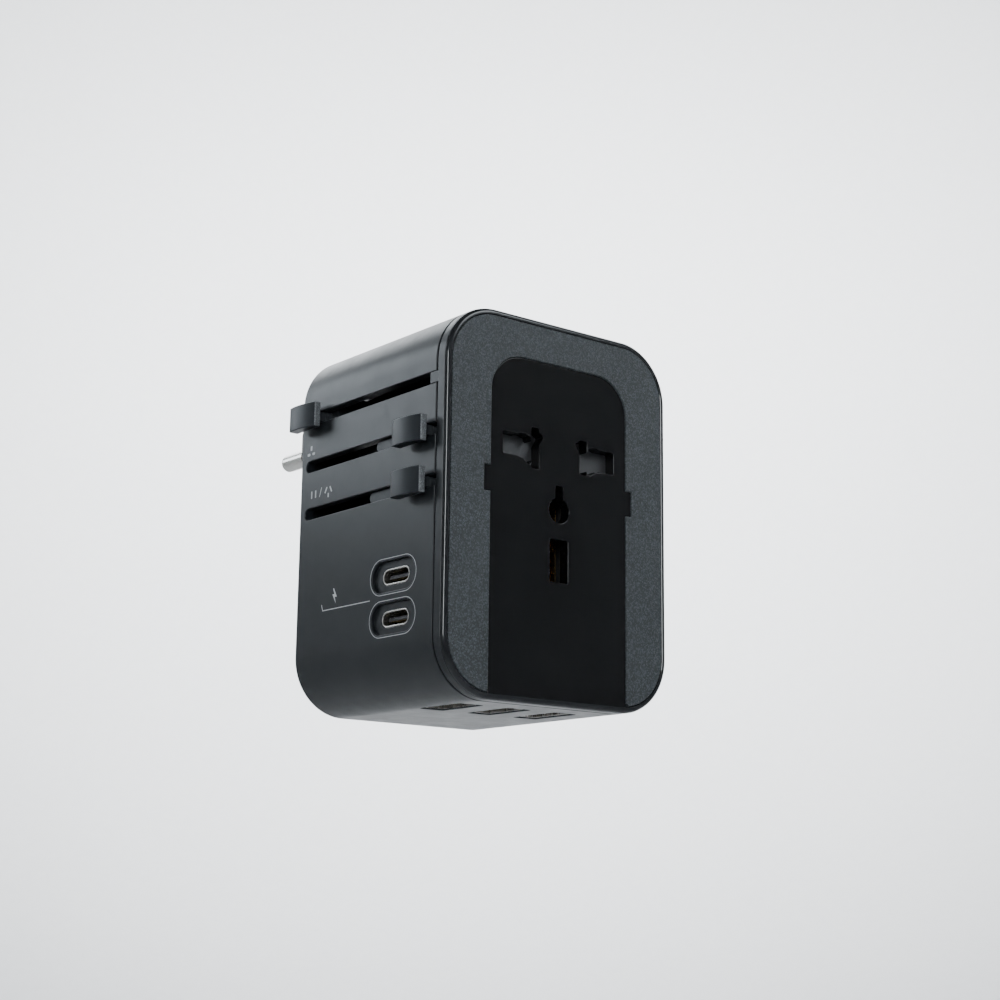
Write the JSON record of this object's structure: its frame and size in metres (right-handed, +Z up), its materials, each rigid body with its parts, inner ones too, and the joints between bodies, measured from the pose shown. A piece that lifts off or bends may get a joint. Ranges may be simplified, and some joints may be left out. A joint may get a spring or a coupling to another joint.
{
  "type": "universal travel adapter",
  "caption": "Compact travel adapter: rounded satin case, universal socket, three sliding plug sets worked by side knobs, USB-C and USB-A ports.",
  "frame": {"origin": "centre of the plug face, which is the flat rear face of the case", "axes": "+Z up, +Y out of the plug face towards the wall socket, -Y out of the universal socket, -X towards the slider knobs and the USB-C ports"},
  "size_m": [0.0616, 0.0883, 0.078],
  "materials": {
    "shell_plastic": "fine satin",
    "cover_plastic": "fine spark-eroded face with a polished bevel",
    "panel_gloss": "glossy black",
    "knob_plastic": "satin",
    "carriage_plastic": "satin",
    "inner_plastic": "moulded black",
    "shutter_plastic": "moulded dark grey",
    "pin_metal": "nickel plated, drawn",
    "sleeve_plastic": "moulded black",
    "contact_brass": "stamped",
    "bus_copper": "stamped",
    "screw_steel": "zinc plated",
    "spring_steel": "drawn",
    "port_steel": "stamped and plated",
    "tongue_plastic": "moulded black",
    "board": "solder mask",
    "ferrite": "sintered",
    "tape": "wound tape",
    "capacitor_sleeve": "shrink sleeve",
    "choke_wire": "enamelled wire",
    "ceramic": "glazed ceramic",
    "chip_epoxy": "moulded"
  },
  "bodies": {
    "case": {"main_shell": "shell_plastic", "front_cover": "cover_plastic", "socket_panel": "panel_gloss", "case_screws": "screw_steel", "chassis": "inner_plastic", "contact_live": "contact_brass", "contact_neutral": "contact_brass", "contact_earth": "contact_brass", "live_bus": "bus_copper", "neutral_bus": "bus_copper", "earth_bus": "bus_copper", "shutter_spring": "spring_steel", "detent_springs": "spring_steel", "main_pcb": "board", "usb_c_board": "board", "usb_c_shell_upper": "port_steel", "usb_c_shell_lower": "port_steel", "usb_c_tongue_upper": "tongue_plastic", "usb_c_tongue_lower": "tongue_plastic", "usb_a_shell_1": "port_steel", "usb_a_shell_2": "port_steel", "usb_a_shell_3": "port_steel", "usb_a_tongue_1": "tongue_plastic", "usb_a_tongue_2": "tongue_plastic", "usb_a_tongue_3": "tongue_plastic", "transformer_core": "ferrite", "transformer_winding": "tape", "bulk_capacitors": "capacitor_sleeve", "emi_choke": "choke_wire", "fuse_body": "ceramic", "fuse_clips": "port_steel", "bridge_rectifier": "chip_epoxy", "charger_chips": "chip_epoxy"},
    "eu_drawer": {"eu_knob": "knob_plastic", "eu_carriage": "carriage_plastic", "eu_pin_live": "pin_metal", "eu_pin_neutral": "pin_metal", "eu_pin_sleeves": "sleeve_plastic"},
    "uk_drawer": {"uk_knob": "knob_plastic", "uk_carriage": "carriage_plastic", "uk_pin_live": "pin_metal", "uk_pin_neutral": "pin_metal", "uk_pin_earth": "pin_metal", "uk_pin_sleeves": "sleeve_plastic"},
    "us_aus_drawer": {"us_aus_knob": "knob_plastic", "us_aus_carriage": "carriage_plastic", "us_aus_backplate": "inner_plastic"},
    "live_blade_turn": {"blade_rotor_live": "sleeve_plastic", "blade_live": "pin_metal"},
    "neutral_blade_turn": {"blade_rotor_neutral": "sleeve_plastic", "blade_neutral": "pin_metal"},
    "shutter": {"socket_shutter": "shutter_plastic"}
  },
  "joints": [
    {"name": "eu_slide", "type": "slide", "parent": "case", "child": "eu_drawer", "axis": [0, 1, 0], "range_m": [-0.037, 0]},
    {"name": "uk_slide", "type": "slide", "parent": "case", "child": "uk_drawer", "axis": [0, 1, 0], "range_m": [0, 0.0247]},
    {"name": "us_aus_slide", "type": "slide", "parent": "case", "child": "us_aus_drawer", "axis": [0, 1, 0], "range_m": [0, 0.0227]},
    {"name": "live_blade_twist", "type": "hinge", "parent": "us_aus_drawer", "child": "live_blade_turn", "pos_m": [0.0065, -0.025, 0.0029], "axis": [0, -1, 0], "range_deg": [0, 30]},
    {"name": "neutral_blade_twist", "type": "hinge", "parent": "us_aus_drawer", "child": "neutral_blade_turn", "pos_m": [-0.0065, -0.025, 0.0029], "axis": [0, 1, 0], "range_deg": [0, 30]},
    {"name": "shutter_slide", "type": "slide", "parent": "case", "child": "shutter", "axis": [0, 0, 1], "range_m": [0, 0.0086], "stiffness_N_per_m": 80, "springref_m": -0.004, "deforming": ["shutter_spring"]}
  ]
}
